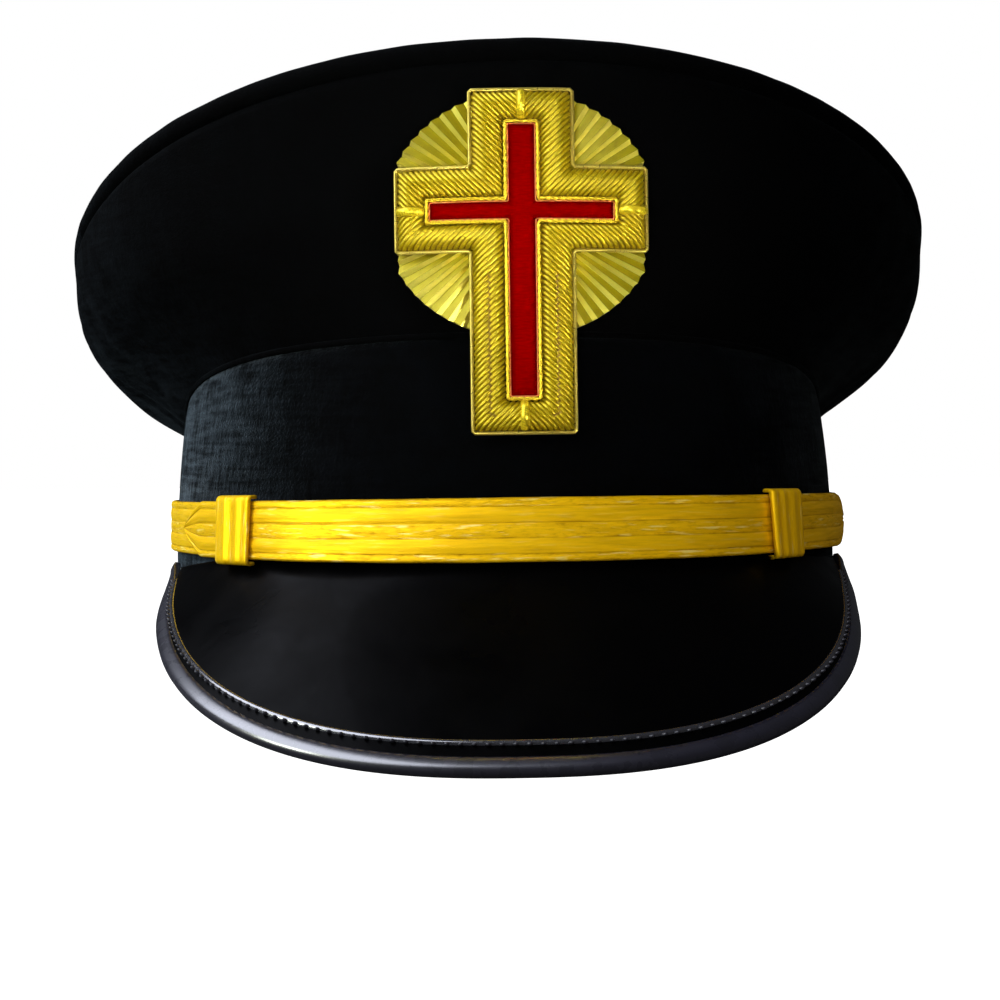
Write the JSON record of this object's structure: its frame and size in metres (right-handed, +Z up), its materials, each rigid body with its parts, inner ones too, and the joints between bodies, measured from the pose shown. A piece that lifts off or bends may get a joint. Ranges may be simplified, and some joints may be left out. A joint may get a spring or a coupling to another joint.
{
  "type": "fatigue cap",
  "caption": "Black peaked fatigue cap with a bell crown, a cloth band, a gold lace chin strap, a patent leather peak and an embroidered cross badge.",
  "frame": {"origin": "on the surface the cap rests on, under the middle of its bounding box", "axes": "+Z up, the peak points along -Y, and +X is the wearer's left"},
  "size_m": [0.2314, 0.2866, 0.1553],
  "materials": {
    "crown_cloth": "matt wool cloth",
    "band_cloth": "smooth wool cloth",
    "patent_leather": "patent gloss",
    "bound_edge": "glossy",
    "gold_lace": "woven metal thread",
    "gold_bullion": "embroidered metal thread",
    "gold_wire": "twisted wire",
    "red_cloth": "satin stitch",
    "brass": "polished",
    "backing_felt": "matt felt"
  },
  "bodies": {
    "root": {"band": "band_cloth", "crown_quarters": "crown_cloth", "crown_welt": "crown_cloth", "crown_top": "crown_cloth", "peak": "patent_leather", "peak_binding": "bound_edge", "chin_strap": "gold_lace", "strap_end_left": "gold_lace", "strap_end_right": "gold_lace", "strap_keeper_left": "gold_lace", "strap_keeper_right": "gold_lace", "side_button_left": "brass", "side_button_right": "brass", "badge_disc": "gold_bullion", "badge_frame": "gold_bullion", "badge_wire": "gold_wire", "badge_cord": "gold_wire", "badge_field": "red_cloth", "badge_bar_top": "gold_wire", "badge_bar_foot": "gold_wire", "badge_bar_left": "gold_wire", "badge_bar_right": "gold_wire", "badge_backing": "backing_felt"}
  },
  "joints": []
}
